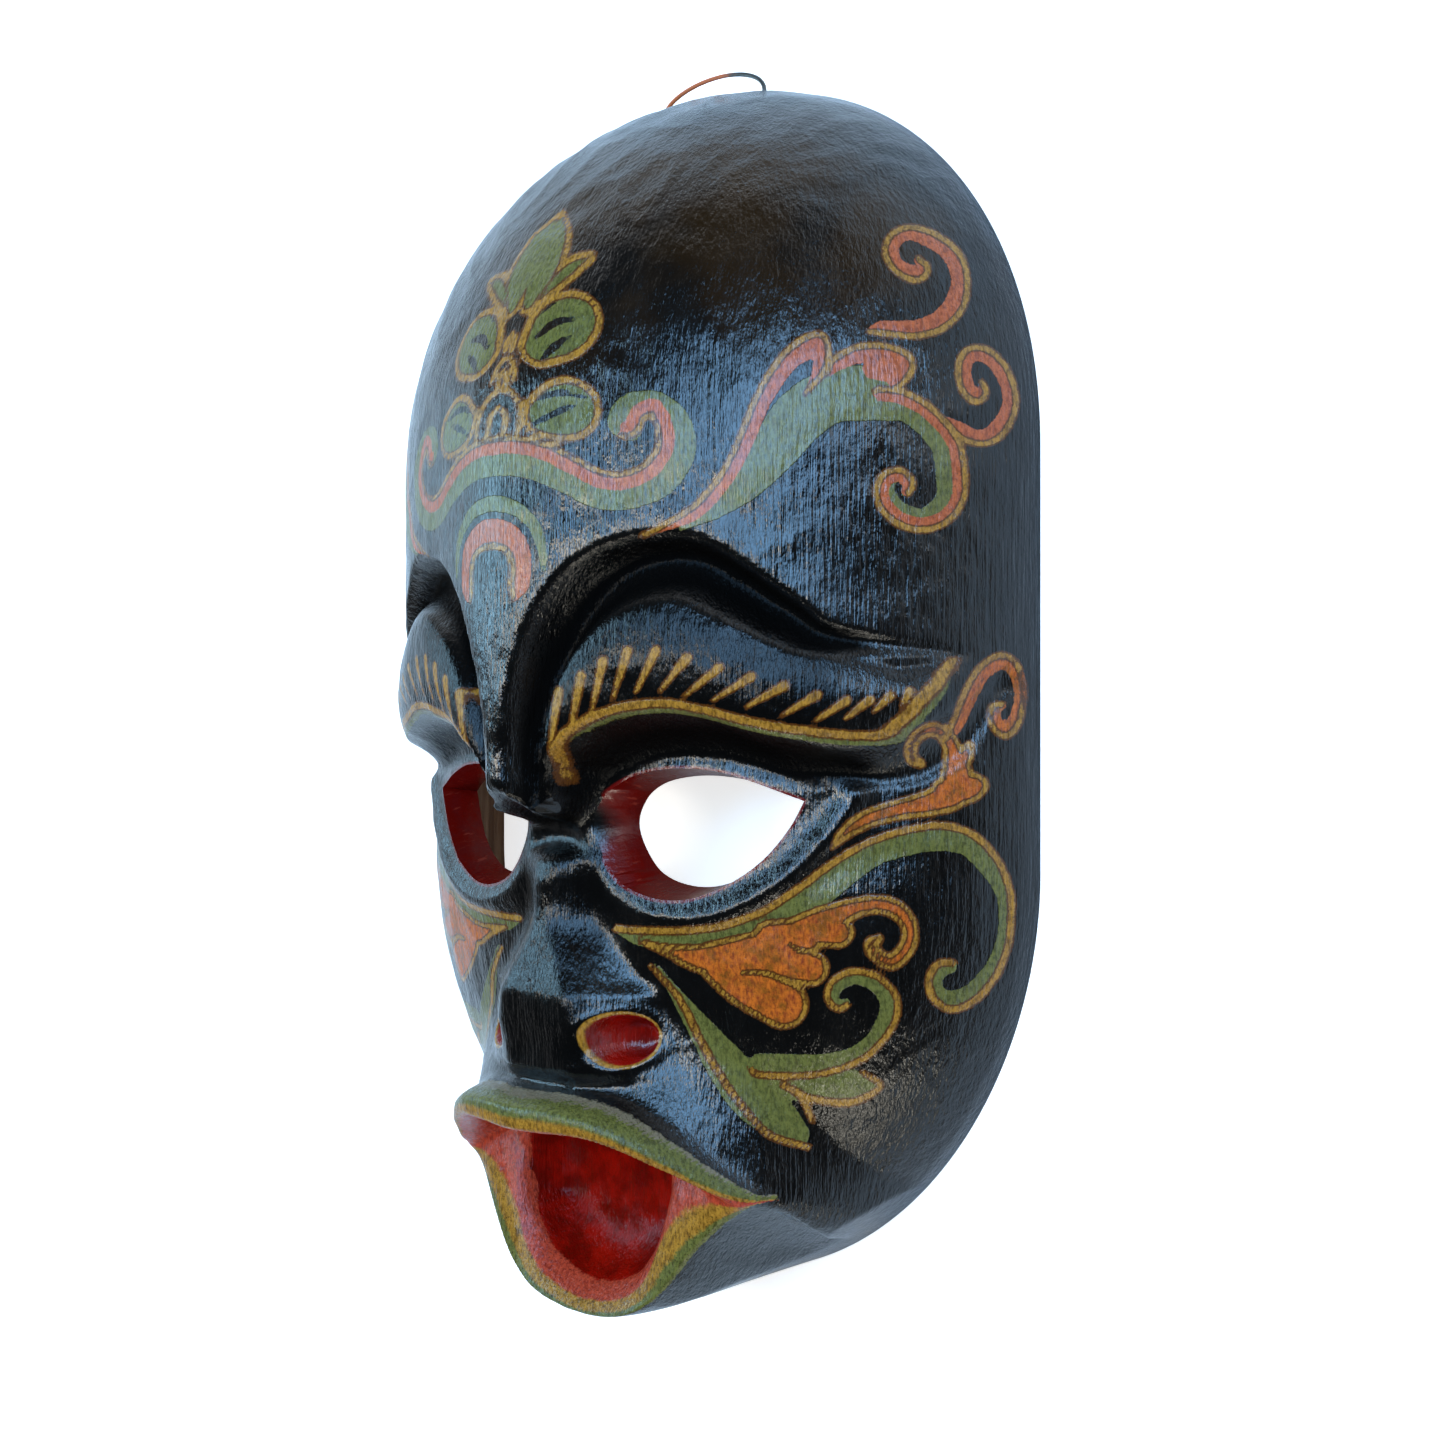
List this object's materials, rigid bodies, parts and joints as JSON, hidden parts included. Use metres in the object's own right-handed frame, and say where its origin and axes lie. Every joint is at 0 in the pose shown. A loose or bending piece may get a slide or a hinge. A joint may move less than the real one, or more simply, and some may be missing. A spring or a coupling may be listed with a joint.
{
  "type": "carved face mask",
  "caption": "Carved and painted wooden face mask with pierced eyes, scroll ornament, a hollow back and a wire loop to hang it.",
  "frame": {"origin": "under the middle of the whole object, on the plane of the flat back rim", "axes": "+X across the face to the viewer's right, +Y from the chin to the crown, +Z out of the face"},
  "size_m": [0.161, 0.2499, 0.0631],
  "materials": {
    "lacquered_wood": "glossy black lacquer over brushed wood, with painted scrolls in green, red, orange and gold",
    "hanging_wire": "thin dark wire with an orange-red coating"
  },
  "bodies": {
    "root": {"mask": "lacquered_wood", "hanging_wire": "hanging_wire"}
  },
  "joints": []
}
